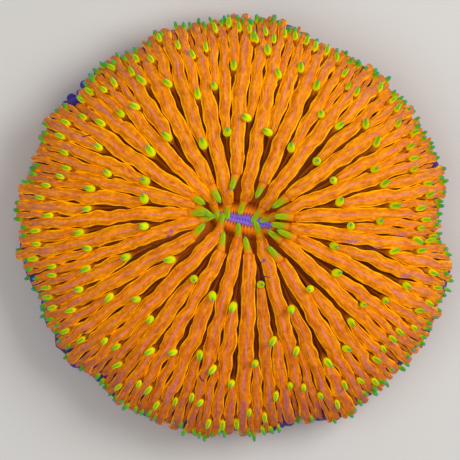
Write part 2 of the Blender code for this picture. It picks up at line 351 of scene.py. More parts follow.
def set_inputs(tree, node, inputs):
    """Sets or links inputs, in order or by name or number. A node given links its first output."""
    for key, value in inputs.items() if isinstance(inputs, dict) else enumerate(inputs):
        if isinstance(value, bpy.types.Node):
            value = next(output for output in value.outputs if output.enabled)
        if isinstance(value, bpy.types.NodeSocket):
            tree.links.new(value, node.inputs[key])
        else:
            node.inputs[key].default_value = value


def add_node(tree, kind, inputs=(), stops=(), **settings):
    """Adds a node with its inputs, its settings and, for a blend of colours, its colour stops."""
    node = tree.nodes.new(kind)
    for name, value in settings.items():
        setattr(node, name, value)
    for _ in stops[2:]:
        node.color_ramp.elements.new(0.5)
    if stops:
        for element, (position, hex_colour) in zip(node.color_ramp.elements, stops):
            element.position = position
            element.color = linear(hex_colour)
    set_inputs(tree, node, inputs)
    return node


def linear(hex_colour):
    """A colour written as sRGB hex, as the linear values that a shader takes."""
    channels = [int(hex_colour[start : start + 2], 16) / 255 for start in (1, 3, 5)]
    values = [c / 12.92 if c <= 0.04045 else ((c + 0.055) / 1.055) ** 2.4 for c in channels]
    return (*values, 1.0)


def new_material(name):
    """A new material, its tree and its main shader."""
    material = bpy.data.materials.new(name)
    material.use_nodes = True
    return material, material.node_tree, material.node_tree.nodes["Principled BSDF"]


def with_painted_glow(tree, skin, colour, painted_glow, others):
    """Gives a skin one colour for what it reflects and for a faint painted glow, though it is no lamp."""
    given = {"Base Color": colour, "Emission Color": colour, "Emission Strength": painted_glow}
    set_inputs(tree, skin, {**given, **others})


# The plate's colours along its course; the dark red-brown stops of the floor are partly painted shade.
PLATE_COLOURS_AND_FLOOR_SHADE = [
    (0.0, "#A85008"), (0.07, "#94420A"), (0.16, "#843A06"), (0.34, "#7E3404"), (0.385, "#4A1A3C"),
    (0.405, "#3A2390"), (0.43, "#4A2E96"), (0.47, "#8A4630"), (0.62, "#9A6038"), (0.74, "#B08A5C"),
    (0.79, "#D8C7A4"), (1.0, "#DED2B4"),
]


# Living tissue stretched over lime: a wet, soft skin that hardly shines under water, with a faint
# painted glow. Its floor is dark red-brown, partly its own colour and partly painted shade of the
# deep valleys, its edge violet-blue, and the scar is bare grainy lime.
def plate_flesh():
    material, tree, skin = new_material("plate_flesh")
    add = partial(add_node, tree)
    stage = add("ShaderNodeAttribute", attribute_name="stage").outputs["Fac"]
    place = add("ShaderNodeTexCoord").outputs["Object"]
    grain = add("ShaderNodeTexNoise", {"Vector": place, "Scale": 900.0, "Detail": 4.0})
    blotches = add("ShaderNodeTexNoise", {"Vector": place, "Scale": 350.0, "Detail": 2.0})
    wander = add("ShaderNodeMath", [blotches, -0.5], operation="ADD")
    wandering = add("ShaderNodeMath", [wander, 0.14, stage], operation="MULTIPLY_ADD")
    halved = add("ShaderNodeMath", [wandering, 0.4], operation="MULTIPLY")
    colours = add("ShaderNodeValToRGB", {"Fac": halved}, PLATE_COLOURS_AND_FLOOR_SHADE)
    rounds = add("ShaderNodeAttribute", attribute_name="round").outputs["Vector"]
    far_along = add("ShaderNodeCombineXYZ", {"Z": stage})
    streak_place = add(
        "ShaderNodeVectorMath", [rounds, (30.0, 30.0, 0.0), far_along], operation="MULTIPLY_ADD"
    )
    streaks = add("ShaderNodeTexNoise", {"Vector": streak_place, "Scale": 1.6, "Detail": 3.0})
    streak_there = add(
        "ShaderNodeMapRange", {"Value": streaks, "From Min": 0.46, "From Max": 0.6, "To Max": 0.75}
    )
    on_top = add(
        "ShaderNodeMapRange",
        {"Value": stage, "From Min": 0.8, "From Max": 0.95, "To Min": 1.0, "To Max": 0.0},
    )
    streaked = add("ShaderNodeMath", [streak_there, on_top], operation="MULTIPLY")
    with_streaks = add("ShaderNodeMix", {0: streaked, 6: colours, 7: linear("#BC5A08")}, data_type="RGBA")
    speckle = add(
        "ShaderNodeMapRange",
        {"Value": grain, "From Min": 0.3, "From Max": 0.7, "To Min": 0.86, "To Max": 1.08},
    )
    shaded = add("ShaderNodeVectorMath", {0: with_streaks, "Scale": speckle}, operation="SCALE")
    bump = add("ShaderNodeBump", {"Strength": 0.5, "Distance": 0.00008, "Height": grain})
    with_painted_glow(
        tree, skin, shaded, 0.12,
        {"Normal": bump, "Roughness": 0.55, "IOR": 1.38, "Specular IOR Level": 0.2},
    )
    return material


plate = plate_mesh()
plate.data.materials.append(plate_flesh())
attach(plate, "root")
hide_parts("coral")

# The ridges. Flesh swells over each of the plate's lime walls as a soft ridge about 1 mm wide,
# with gently folded sides and a thin pink line along its crest. Later ridges start nearer the
# rim, each as a low fold on a valley's floor, and all end as rounded lobes over the edge.

# For each kind: most half width, share of the room, height of the rounded top, drop below the
# crests of the large ones, length of the low fold ahead of it.
RIDGE_KINDS = {
    "large": (0.64, 1.15, 0.50, 0.0, 0.7),
    "middle": (0.62, 1.10, 0.48, 0.0, 2.6),
    "small": (0.56, 1.0, 0.44, 0.05, 2.4),
    "rim": (0.36, 0.54, 0.34, 0.14, 1.5),
}
LEAST_HALF_WIDTH = 0.10
HAIRLINE = 0.012
ROOM_FOR_TENTACLE = 0.20
# A neighbour that starts within this distance already takes its room.
ROOM_AHEAD = 0.45
# One that has only just started claims this share of a grown one's.
YOUNG_SHARE = 0.35
FOLD_HALF_WIDTH = 0.13
FOLD_HEIGHT = 0.55
HEAD_HALF_WIDTHS = {"large": 0.55, "middle": 0.36, "small": 0.32, "rim": 0.24}
WIDENING_LENGTH = 1.6
# A ridge's most half width at the mouth, as a share of its kind's, and its gain for each mm outward.
NARROW_SHARE = 0.92
GAIN_OUTWARD = 0.024
SWAY = 0.055
# Fuller ridges end in lobes that reach further out: by how much, and over which share of a course.
LOBE_REACH = 1.1
LOBE_LENGTH = 0.1
STEP_ALONG = 0.26
# Where the points of a ridge's low fold lie, as shares of its length, and those of its head, in mm.
FOLD_SHARES = (1.0, 0.8, 0.6, 0.42, 0.27)
HEAD_STEPS = (-0.17, -0.10, 0.0, 0.14, 0.30, 0.48)
HEAD_LENGTH = 0.68
SWAY_LENGTHS = (4.3, 2.3)
FOOT_IN_FLESH = 0.25
RIDGE_END_STAGE = 1.22
# How full a ridge still is as it turns under the rim.
ENDING_STAGES = [0.99, 1.06, 1.14, RIDGE_END_STAGE]
ENDING_SHARES = [1.0, 0.86, 0.55, 0.12]
# How a ridge's skin is swept: its sides, the folds' spacing in mm and depth as a share, the lumps.
SWEEP = {"Sides": 16, "Fold spacing": 2.2, "Fold depth": 0.07, "Lump height": 0.34 * MM}


def fullness(index):
    """How much flesh one ridge has, as a share of its kind's: no two neighbours are alike."""
    return 1 + 0.16 * math.sin(2.4 * index) + 0.12 * math.sin(5.3 * index + 1.0)


def room_beside(index, side, distance):
    """How far a ridge's flesh reaches to one side before it meets its neighbour's, in mm."""
    place, _, kind = RIDGES[index]
    most, weight = RIDGE_KINDS[kind][:2]
    weight *= fullness(index)
    here = path_at(place, distance)
    spread = math.hypot(distance, MOUTH_HALF_LENGTH * math.sin(here))
    for step in range(1, len(RIDGES)):
        turns, beside = divmod(index + side * step, len(RIDGES))
        other_place, other_start, other_kind = RIDGES[beside]
        if other_start < distance + ROOM_AHEAD or other_kind == "large":
            break
    other_place += turns * len(LARGE_RIDGES)
    gap = abs(path_at(other_place, distance) - here) * spread
    grown = min(1.0, max(0.0, (distance - other_start) / WIDENING_LENGTH))
    other_weight = RIDGE_KINDS[other_kind][1] * fullness(beside) * (YOUNG_SHARE + (1 - YOUNG_SHARE) * grown)
    room = gap * weight / (weight + other_weight) - HAIRLINE
    if distance < other_start + ROOM_AHEAD:
        closeness = 1 - min(1.0, abs(distance - other_start) / ROOM_AHEAD)
        room = min(room, gap - ROOM_FOR_TENTACLE * closeness - 0.05)
    return max(LEAST_HALF_WIDTH, min(most * (NARROW_SHARE + GAIN_OUTWARD * distance), room))


def ridge_guide(index):
    """A ridge's guide: for each point along it, where the middle of its section is and its sizes."""
    place, start, kind = RIDGES[index]
    _, _, top, drop, fold_length = RIDGE_KINDS[kind]
    line = course(place)
    begin = float(np.interp(start / line["reach"], line["stage"], line["travelled"]))
    end = float(np.interp(RIDGE_END_STAGE, line["stage"], line["travelled"]))
    folds = [begin - fold_length * share for share in FOLD_SHARES]
    folds = [travel for travel in folds if travel > 0.2]
    head = [begin + step for step in HEAD_STEPS]
    count = max(4, round((end - head[-1]) / STEP_ALONG))
    body = list(np.linspace(head[-1], end, count + 1)[1:])
    travels = np.array(folds + head + body)
    stages, points, outward, across, distances = (
        read_course(line, key, travels, by="travelled")
        for key in ("stage", "point", "outward", "across", "distance")
    )
    depths = np.interp(stages, STAGES, FLOOR_DEPTHS)
    grown = np.clip((travels - begin + 0.2) / HEAD_LENGTH, 0, 1)
    rounded = np.sqrt(1 - (1 - grown) ** 2)
    grown = grown * grown * (3 - 2 * grown)
    widened = np.clip((travels - begin) / WIDENING_LENGTH, 0, 1)
    phase = 2.4 * index
    slow, quick = (travels * math.tau / length for length in SWAY_LENGTHS)
    sway = np.sin(slow + phase) + 0.6 * np.sin(quick + 2 * phase)
    sway = SWAY * sway * np.interp(travels - begin, [0.0, 1.5], [0.0, 1.0])
    lobe = LOBE_REACH * (fullness(index) - 1) * np.exp(-(((stages - 1) / LOBE_LENGTH) ** 2))
    points = points + across * sway[:, None] + outward * lobe[:, None]
    ending = np.interp(stages, ENDING_STAGES, ENDING_SHARES)
    entering = np.clip((travels - travels[0]) / 0.6, 0.25, 1)
    left, right, tops, feet, middles = [], [], [], [], []
    for spot, distance in enumerate(distances):
        nearer_rim = min(distance, line["reach"])
        shrink = distance / nearer_rim if stages[spot] > 1 else 1.0
        sides = [room_beside(index, side, nearer_rim) * shrink for side in (1, -1)]
        least = HEAD_HALF_WIDTHS[kind]
        sides = [min(room, least + (max(room, least) - least) * widened[spot]) for room in sides]
        sides = [
            FOLD_HALF_WIDTH * entering[spot] * (1 - rounded[spot]) + room * rounded[spot] * ending[spot]
            for room in sides
        ]
        height = top * (0.35 + 0.65 * grown[spot]) * (0.25 + 0.75 * ending[spot])
        lowered = (depths[spot] - FOLD_HEIGHT * entering[spot]) * (1 - grown[spot])
        sunk = drop + 0.3 * max(0.0, 1 - fullness(index))
        lowered += (sunk + 0.9 * depths[spot] * (1 - ending[spot])) * grown[spot]
        left.append(sides[0])
        right.append(sides[1])
        tops.append(height)
        feet.append(max(0.15, depths[spot] - lowered - height + FOOT_IN_FLESH + max(0.0, lobe[spot])))
        middles.append(points[spot] - outward[spot] * (lowered + height))
    return {
        "middle": np.array(middles), "outward": outward, "across": across, "left": np.array(left),
        "right": np.array(right), "top": np.array(tops), "foot": np.array(feet),
        "along": travels - begin, "stage": stages,
    }


def ridge_guides(name, kind, seed):
    """All guides of one kind of ridge, as one mesh of edges that carries their sizes."""
    draw = random.Random(seed)
    points, edges, columns = [], [], {}
    for index, ridge in enumerate(RIDGES):
        if ridge[2] != kind:
            continue
        guide = ridge_guide(index)
        count = len(guide["middle"])
        edges.extend((len(points) + step, len(points) + step + 1) for step in range(count - 1))
        points.extend(guide["middle"])
        for key in ("outward", "across", "left", "right", "top", "foot", "along", "stage"):
            columns.setdefault(key, []).append(guide[key])
        columns.setdefault("chance", []).append(np.full(count, draw.random()))
    guides = mesh_object(name, points, [], edges)
    for key, parts in columns.items():
        values = np.concatenate(parts)
        if key in ("left", "right", "top", "foot"):
            values = values * MM
        set_attribute(guides, key, values)
    return guides


def new_tree(name, inputs, output):
    """A Geometry Nodes tree with named inputs: the tree, what adds a node to it, and its inputs."""
    tree = bpy.data.node_groups.new(name, "GeometryNodeTree")
    tree.is_modifier = True
    for label, kind in inputs.items():
        tree.interface.new_socket(label, in_out="INPUT", socket_type=f"NodeSocket{kind}")
    tree.interface.new_socket(output, in_out="OUTPUT", socket_type="NodeSocketGeometry")
    add = partial(add_node, tree)
    return tree, add, add("NodeGroupInput").outputs


def flesh_ridge_tree():
    """Geometry Nodes that sweep a fleshy section along guides, with folds down both sides."""
    inputs = {"Guides": "Geometry", "Sides": "Int", "Fold spacing": "Float", "Fold depth": "Float"}
    inputs.update({"Lump height": "Float", "Flesh": "Material"})
    tree, add, given = new_tree("flesh_ridges", inputs, "Ridges")
    place = add("GeometryNodeInputPosition")
    centred = add(
        "GeometryNodeStoreNamedAttribute",
        {"Geometry": given["Guides"], "Name": "middle", "Value": place}, data_type="FLOAT_VECTOR",
    )
    guide_curves = add("GeometryNodeMeshToCurve", {"Mesh": centred})
    circle = add("GeometryNodeCurvePrimitiveCircle", {"Resolution": given["Sides"], "Radius": 1.0})
    section = add(
        "GeometryNodeStoreNamedAttribute",
        {"Geometry": circle, "Name": "section", "Value": place}, data_type="FLOAT_VECTOR",
    )
    swept = add(
        "GeometryNodeCurveToMesh", {"Curve": guide_curves, "Profile Curve": section, "Fill Caps": True}
    )

    directions = ("middle", "outward", "across", "section")
    numbers = ("left", "right", "top", "foot", "along", "chance")
    read = {
        name: add("GeometryNodeInputNamedAttribute", {"Name": name}, data_type=kind)
        for names, kind in ((directions, "FLOAT_VECTOR"), (numbers, "FLOAT"))
        for name in names
    }
    parts = add("ShaderNodeSeparateXYZ", [read["section"]]).outputs

    # A fuller side than a plain circle has: x (1.3 - 0.3 x x).
    squared = add("ShaderNodeMath", [parts["X"], parts["X"]], operation="MULTIPLY")
    fuller = add("ShaderNodeMath", [squared, -0.3, 1.3], operation="MULTIPLY_ADD")
    sideways = add("ShaderNodeMath", [parts["X"], fuller], operation="MULTIPLY")
    offsets = []
    for value, above, below in ((sideways, "left", "right"), (parts["Y"], "top", "foot")):
        positive = add("ShaderNodeMath", [value, 0.0], operation="MAXIMUM")
        negative = add("ShaderNodeMath", [value, 0.0], operation="MINIMUM")
        one = add("ShaderNodeMath", [positive, read[above]], operation="MULTIPLY")
        both = add("ShaderNodeMath", [negative, read[below], one], operation="MULTIPLY_ADD")
        offsets.append(both)

    # The folds: a slow wave along each side, out of step on the two sides and between ridges.
    spaced = add("ShaderNodeMath", [read["along"], given["Fold spacing"]], operation="DIVIDE")
    turns = add("ShaderNodeMath", [spaced, math.tau], operation="MULTIPLY")
    shifted = add("ShaderNodeMath", [read["chance"], 40.0, turns], operation="MULTIPLY_ADD")
    side = add("ShaderNodeMath", [parts["X"]], operation="SIGN")
    waver = add("ShaderNodeTexNoise", {"Vector": read["middle"], "Scale": 420.0, "Detail": 1.0})
    wandered = add("ShaderNodeMath", [waver, 9.0, shifted], operation="MULTIPLY_ADD")
    phase = add("ShaderNodeMath", [side, 1.1, wandered], operation="MULTIPLY_ADD")
    wave = add("ShaderNodeMath", [phase], operation="SINE")
    lowered = add("ShaderNodeMath", [wave, 1.0], operation="SUBTRACT")
    narrowing = add("ShaderNodeMath", [lowered, given["Fold depth"], 1.0], operation="MULTIPLY_ADD")
    folded = add("ShaderNodeMath", [offsets[0], narrowing], operation="MULTIPLY")

    lumps = add("ShaderNodeTexNoise", {"Vector": place, "Scale": 900.0, "Detail": 2.0})
    centred_lumps = add("ShaderNodeMath", [lumps, 0.62], operation="SUBTRACT")
    shown_above = add("ShaderNodeMath", [parts["Y"], 0.0], operation="MAXIMUM")
    lump_share = add("ShaderNodeMath", [centred_lumps, shown_above], operation="MULTIPLY")
    raised = add("ShaderNodeMath", [lump_share, given["Lump height"], offsets[1]], operation="MULTIPLY_ADD")

    moved_across = add("ShaderNodeVectorMath", {0: read["across"], "Scale": folded}, operation="SCALE")
    moved_out = add("ShaderNodeVectorMath", {0: read["outward"], "Scale": raised}, operation="SCALE")
    both_moves = add("ShaderNodeVectorMath", [moved_across, moved_out], operation="ADD")
    target = add("ShaderNodeVectorMath", [read["middle"], both_moves], operation="ADD")
    placed = add("GeometryNodeSetPosition", {"Geometry": swept, "Position": target})
    smooth = add("GeometryNodeSetShadeSmooth", {"Geometry": placed})
    realized = add("GeometryNodeRealizeInstances", {"Geometry": smooth})
    covered = add("GeometryNodeSetMaterial", {"Geometry": realized, "Material": given["Flesh"]})
    add("NodeGroupOutput", {"Ridges": covered})
    return tree


def made_by_nodes(source, tree, inputs, name):
    """Runs a Geometry Nodes tree on an object with named inputs, and keeps only the mesh it makes."""
    modifier = source.modifiers.new(tree.name, "NODES")
    modifier.node_group = tree
    identifiers = {
        item.name: item.identifier
        for item in tree.interface.items_tree
        if item.item_type == "SOCKET" and item.in_out == "INPUT"
    }
    for key, value in inputs.items():
        modifier[identifiers[key]] = value
    depsgraph = bpy.context.evaluated_depsgraph_get()
    mesh = bpy.data.meshes.new_from_object(
        source.evaluated_get(depsgraph), preserve_all_data_layers=True, depsgraph=depsgraph
    )
    mesh.name = name
    for slot in reversed(range(len(mesh.materials))):
        if mesh.materials[slot] is None:
            mesh.materials.pop(index=slot)
    bpy.data.objects.remove(source, do_unlink=True)
    return add_object(name, mesh)


# Violet stains on the skin: where each is and its half sizes along X and Y, in mm, and how strong.
STAINS = [
    (2.86, -3.02, 0.24, 0.24, 0.85), (-5.8, -0.9, 0.26, 0.50, 0.75), (-5.55, -0.35, 0.25, 0.30, 0.7),
    (10.9, -1.25, 1.0, 0.20, 0.5), (12.9, -1.85, 0.9, 0.22, 0.5), (15.4, -0.75, 1.0, 0.20, 0.45),
    (15.9, -4.4, 0.8, 0.25, 0.4), (-16.0, -9.0, 1.2, 0.5, 0.35),
]
STAIN_HEIGHT = 9.0


# Soft wet skin with fluorescent pigment, given a faint painted glow in place of the orange light it
# gives off under blue light, so its colours are purer than paint. It is painted brightest along a
# ridge's edges, where the flesh is thin: a painted highlight.
def ridge_flesh():
    material, tree, skin = new_material("flesh_with_painted_glow")
    add = partial(add_node, tree)
    section = add("ShaderNodeAttribute", attribute_name="section").outputs["Vector"]
    parts = add("ShaderNodeSeparateXYZ", [section]).outputs
    stage, along, chance = (
        add("ShaderNodeAttribute", attribute_name=name).outputs["Fac"]
        for name in ("stage", "along", "chance")
    )
    place = add("ShaderNodeTexCoord").outputs["Object"]
    across = add("ShaderNodeMath", [parts["X"]], operation="ABSOLUTE")
    patches = add("ShaderNodeTexNoise", {"Vector": place, "Scale": 700.0, "Detail": 3.0})
    fine = add("ShaderNodeTexNoise", {"Vector": place, "Scale": 2600.0, "Detail": 3.0})

    streak_place = add("ShaderNodeCombineXYZ", {"X": along, "Y": parts["X"], "Z": chance})
    streak_turned = add("ShaderNodeVectorMath", [streak_place, (0.9, 2.6, 60.0)], operation="MULTIPLY")
    streaks = add(
        "ShaderNodeTexNoise", {"Vector": streak_turned, "Scale": 1.0, "Detail": 3.0, "Distortion": 0.6}
    )
    uneven = add("ShaderNodeMath", [streaks, 0.55, across], operation="MULTIPLY_ADD")
    # Painted highlight: bright amber along the edges of each side, as light showing through thin flesh.
    painted_edge_light = add(
        "ShaderNodeMapRange", {"Value": uneven, "From Min": 0.95, "From Max": 1.17},
        interpolation_type="SMOOTHSTEP",
    )
    mottled = add("ShaderNodeMapRange", {"Value": streaks, "From Min": 0.30, "From Max": 0.66})
    middle_orange = add(
        "ShaderNodeMix", {0: mottled, 6: linear("#C25A00"), 7: linear("#EE8C00")}, data_type="RGBA"
    )
    orange = add("ShaderNodeMix", {0: painted_edge_light, 6: middle_orange, 7: linear("#FFBC00")}, data_type="RGBA")

    # Painted light: the flesh is painted paler and less mauve on its left, right and upper sides than
    # at its lower edge, which is left in painted shade.
    place_parts = add("ShaderNodeSeparateXYZ", [place]).outputs
    sideways = add("ShaderNodeMath", [place_parts["X"]], operation="ABSOLUTE")
    from_lower_edge = add("ShaderNodeMath", [sideways, 0.6, place_parts["Y"]], operation="MULTIPLY_ADD")
    painted_side_light = add(
        "ShaderNodeMapRange", {"Value": from_lower_edge, "From Min": -16 * MM, "From Max": 9 * MM},
        interpolation_type="SMOOTHSTEP",
    )

    # The crest's pink line, broken along its length, and the mauve that widens towards the rim.
    towards_rim = add(
        "ShaderNodeMapRange", {"Value": stage, "From Min": 0.72}, interpolation_type="SMOOTHSTEP"
    )
    line_width = add("ShaderNodeMath", [towards_rim, 0.48, 0.11], operation="MULTIPLY_ADD")
    off_line = add("ShaderNodeMath", [across, line_width], operation="DIVIDE")
    on_line = add(
        "ShaderNodeMapRange",
        {"Value": off_line, "From Min": 0.5, "From Max": 1.25, "To Min": 1.0, "To Max": 0.0},
        interpolation_type="SMOOTHSTEP",
    )
    crest_only = add("ShaderNodeMath", [parts["Y"], 0.3], operation="GREATER_THAN")
    broken = add(
        "ShaderNodeMapRange", {"Value": patches, "From Min": 0.42, "From Max": 0.60, "To Min": 0.2}
    )
    line_there = add("ShaderNodeMath", [on_line, crest_only], operation="MULTIPLY")
    line = add("ShaderNodeMath", [line_there, broken], operation="MULTIPLY")
    most_pink = add("ShaderNodeMath", [towards_rim, 0.06, 0.62], operation="MULTIPLY_ADD")
    # Less pink where the painted side light falls.
    pink_left = add("ShaderNodeMath", [painted_side_light, -0.36, 1.12], operation="MULTIPLY_ADD")
    pink = add("ShaderNodeMath", [most_pink, pink_left], operation="MULTIPLY", use_clamp=True)
    line_strength = add("ShaderNodeMath", [line, pink], operation="MULTIPLY")
    line_colour = add(
        "ShaderNodeMix", {0: towards_rim, 6: linear("#D0748A"), 7: linear("#A05650")}, data_type="RGBA"
    )
    lined = add("ShaderNodeMix", {0: line_strength, 6: orange, 7: line_colour}, data_type="RGBA")

    # The foot of each side goes down into the valley, painted dark red-brown there as painted shade.
    valley_shade = add(
        "ShaderNodeMapRange", {"Value": parts["Y"], "From Min": 0.16, "From Max": -0.42},
        interpolation_type="SMOOTHSTEP",
    )
    valley_shaded = add("ShaderNodeMix", {0: valley_shade, 6: lined, 7: linear("#7A3004")}, data_type="RGBA")
    low_fold = add(
        "ShaderNodeMapRange",
        {"Value": along, "From Min": -0.45, "From Max": 0.1, "To Min": 1.0, "To Max": 0.0},
    )
    folded = add("ShaderNodeMix", {0: low_fold, 6: valley_shaded, 7: linear("#A04A08")}, data_type="RGBA")
    for x, y, half_x, half_y, strength in STAINS:
        from_stain = add(
            "ShaderNodeVectorMath", [place, (x * MM, y * MM, STAIN_HEIGHT * MM)], operation="SUBTRACT"
        )
        in_half_sizes = add(
            "ShaderNodeVectorMath",
            [from_stain, (1 / (half_x * MM), 1 / (half_y * MM), 0.3 / MM)], operation="MULTIPLY",
        )
        away = add("ShaderNodeVectorMath", [in_half_sizes], operation="LENGTH")
        ragged = add("ShaderNodeMath", [fine, 0.7, away], operation="MULTIPLY_ADD")
        stained = add(
            "ShaderNodeMapRange", {"Value": ragged, "From Min": 1.4, "From Max": 0.85, "To Max": strength},
            interpolation_type="SMOOTHSTEP",
        )
        folded = add("ShaderNodeMix", {0: stained, 6: folded, 7: linear("#84468C")}, data_type="RGBA")
    shading = add(
        "ShaderNodeMapRange",
        {"Value": fine, "From Min": 0.3, "From Max": 0.7, "To Min": 0.84, "To Max": 1.1},
    )
    # Painted light and shade: brighter and yellower on the sides and top, darker towards the lower edge.
    painted_light_by_place = add("ShaderNodeMath", [painted_side_light, 0.20, 0.86], operation="MULTIPLY_ADD")
    by_ridge = add("ShaderNodeMath", [chance, 0.10, shading], operation="MULTIPLY_ADD")
    varied = add("ShaderNodeMath", [by_ridge, painted_light_by_place], operation="MULTIPLY")
    lit = add("ShaderNodeVectorMath", {0: folded, "Scale": varied}, operation="SCALE")
    hue = add("ShaderNodeMath", [painted_side_light, 0.008, 0.4955], operation="MULTIPLY_ADD")
    colour = add("ShaderNodeHueSaturation", {"Hue": hue, "Color": lit})

    # Fine wrinkles, and longer ones that run with the ridge.
    relief = add("ShaderNodeMath", [streaks, 1.6, fine], operation="MULTIPLY_ADD")
    bump = add("ShaderNodeBump", {"Strength": 0.9, "Distance": 0.00012, "Height": relief})
    with_painted_glow(
        tree, skin, colour, 0.16,
        {"Normal": bump, "Roughness": 0.55, "IOR": 1.36, "Specular IOR Level": 0.2},
    )
    return material


ridge_tree = flesh_ridge_tree()
flesh_with_painted_glow = ridge_flesh()
for seed, kind in enumerate(RIDGE_KINDS):
    guides = ridge_guides(f"{kind}_ridge_guides", kind, seed)
    look = {**SWEEP, "Flesh": flesh_with_painted_glow}
    ridges = made_by_nodes(guides, ridge_tree, look, f"{kind}_ridges")
    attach(ridges, "root")
    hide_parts("coral")

# The mouth. A slit about 5 mm long, with two lips of thin violet flesh that is gathered in fine
# pleats down into the throat.

PLEATS = 40
LIP_WIDTH = 2.2
# The lips' columns are evenly spaced along the ring at this distance from the slit's line, whose
# length is measured in so many points.
EVEN_AT = 0.35
EVEN_POINTS = 721
COLUMNS_PER_PLEAT = 8
# Each ring of the lips: its distance from the slit's line, its height, and how deep its pleats are.
LIP_RINGS = [
    (0.0, 7.28, 0.0), (0.04, 7.36, 0.04), (0.09, 7.44, 0.08), (0.17, 7.52, 0.11), (0.30, 7.58, 0.13),
    (0.48, 7.62, 0.14), (0.70, 7.62, 0.14), (0.95, 7.52, 0.13), (1.25, 7.40, 0.12), (1.6, 7.25, 0.10),
    (2.0, 7.0, 0.06), (2.4, 6.6, 0.0),
]


def weld(mesh):
    """Joins a mesh's points that lie on one another."""
    joined = bmesh.new()
    joined.from_mesh(mesh)
    bmesh.ops.remove_doubles(joined, verts=joined.verts, dist=0.0001 * MM)
    joined.to_mesh(mesh)
    joined.free()


def mouth_mesh():
    """The two lips as rings round the slit, their columns evenly spaced along the gathered edge."""
    turns = np.linspace(0, math.tau, EVEN_POINTS)
    x = np.hypot(MOUTH_HALF_LENGTH, EVEN_AT) * np.cos(turns)
    y = EVEN_AT * np.sin(turns)
    lengths = np.concatenate([[0.0], np.cumsum(np.hypot(np.diff(x), np.diff(y)))])
    count = PLEATS * COLUMNS_PER_PLEAT
    even = np.interp(np.linspace(0, lengths[-1], count + 1)[:-1], lengths, turns)
    points, shares = [], []
    for column, path in enumerate(even):
        waver = 1.3 * math.sin(3 * path + 0.7) + 0.9 * math.sin(7 * path)
        pleat = math.cos(math.tau * column / COLUMNS_PER_PLEAT + waver)
        for distance, height, depth in LIP_RINGS:
            x, y = plan(max(0.0, distance + 0.5 * depth * pleat), path)
            points.append((x + PLATE_CENTRE[0], y + PLATE_CENTRE[1], height + depth * pleat))
            shares.append((distance, pleat))
    rings = len(LIP_RINGS)
    faces = ring_faces(count, rings)
    faces.append(tuple(column * rings + rings - 1 for column in reversed(range(count))))
    mouth = mesh_object("mouth", points, faces)
    for name, values in zip(("lip", "pleat"), zip(*shares)):
        set_attribute(mouth, name, values)
    weld(mouth.data)
    mouth.data.shade_smooth()
    mouth.data.polygons[-1].use_smooth = False
    return mouth


LIP_COLOURS = [
    (0.0, "#583AA4"), (0.11, "#7450C0"), (0.20, "#9478DC"), (0.29, "#8656A8"), (0.36, "#B05A2C"),
    (0.46, "#EC8C14"), (0.60, "#D87A10"), (0.74, "#9C4C0C"), (1.0, "#742F06"),
]


# Thin moist membrane, violet in the slit and turning to the ridges' orange over the lips, with a
# faint painted glow.
def lip_flesh():
    material, tree, skin = new_material("lip_membrane")
    add = partial(add_node, tree)
    lip, pleat = (
        add("ShaderNodeAttribute", attribute_name=name).outputs["Fac"] for name in ("lip", "pleat")
    )
    place = add("ShaderNodeTexCoord").outputs["Object"]
    patches = add("ShaderNodeTexNoise", {"Vector": place, "Scale": 1500.0, "Detail": 2.0})
    raised = add("ShaderNodeMath", [pleat, 0.16, lip], operation="MULTIPLY_ADD")
    uneven = add("ShaderNodeMath", [patches, 0.5, raised], operation="MULTIPLY_ADD")
    share_out = add("ShaderNodeMath", [uneven, 1 / LIP_WIDTH], operation="MULTIPLY")
    colours = add("ShaderNodeValToRGB", {"Fac": share_out}, LIP_COLOURS)
    with_painted_glow(tree, skin, colours, 0.28, {"Roughness": 0.4, "IOR": 1.36})
    return material


mouth = mouth_mesh()
mouth.data.materials.append(lip_flesh())
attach(mouth, "root")
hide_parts("coral")

# The tentacles. A soft finger of flesh stands at the head of every ridge, 1 to 2 mm long, orange
# at its base and green above, with a pale dot at its tip. The inner ones reach over the mouth,
# those halfway out stand up, and the outer ones lean towards the rim.

# For each kind of ridge: length, half width, lean away from the mouth in degrees, the spread of
# that lean, the spread to either side, and how far the tip droops along the lean, in mm.
TENTACLE_KINDS = {
    "large": (2.0, 0.42, -59, 7, 0.16, -0.1),
    "middle": (1.5, 0.52, 8, 17, 0.42, 0.10),
    "small": (1.3, 0.43, 12, 18, 0.38, 0.18),
    "rim": (1.1, 0.32, 20, 18, 0.30, 0.15),
}
# Sides, rings, the share of its width that it loses towards the tip, and its width at the base.
TENTACLE_SHAPES = {
    "large": (12, 8, 0.50, 1.3),
    "middle": (12, 8, 0.60, 0.7),
    "small": (10, 7, 0.56, 0.6),
    "rim": (8, 6, 0.50, 0.5),
}
FIRST_TENTACLE_SEED = 20
INNER_ROOT_SETBACK = 0.4
ROOT_DEPTHS = {"large": 0.76, "middle": 0.55, "small": 0.55, "rim": 0.55}
# A gentle flow of the water leans them all a little one way.
FLOW = (-0.2, 0.07, 0.0)


def make_roots(name, fingers, chances):
    """A point for each finger, which carries where it aims, how its tip droops and its sizes."""
    points, aims, droops, girths, lengths = zip(*fingers)
    roots = mesh_object(name, points, [])
    columns = {"aim": aims, "droop": droops, "girth": girths, "length": lengths}
    for key, values in columns.items():
        set_attribute(roots, key, values)
    set_attribute(roots, "chance", chances)
    return roots


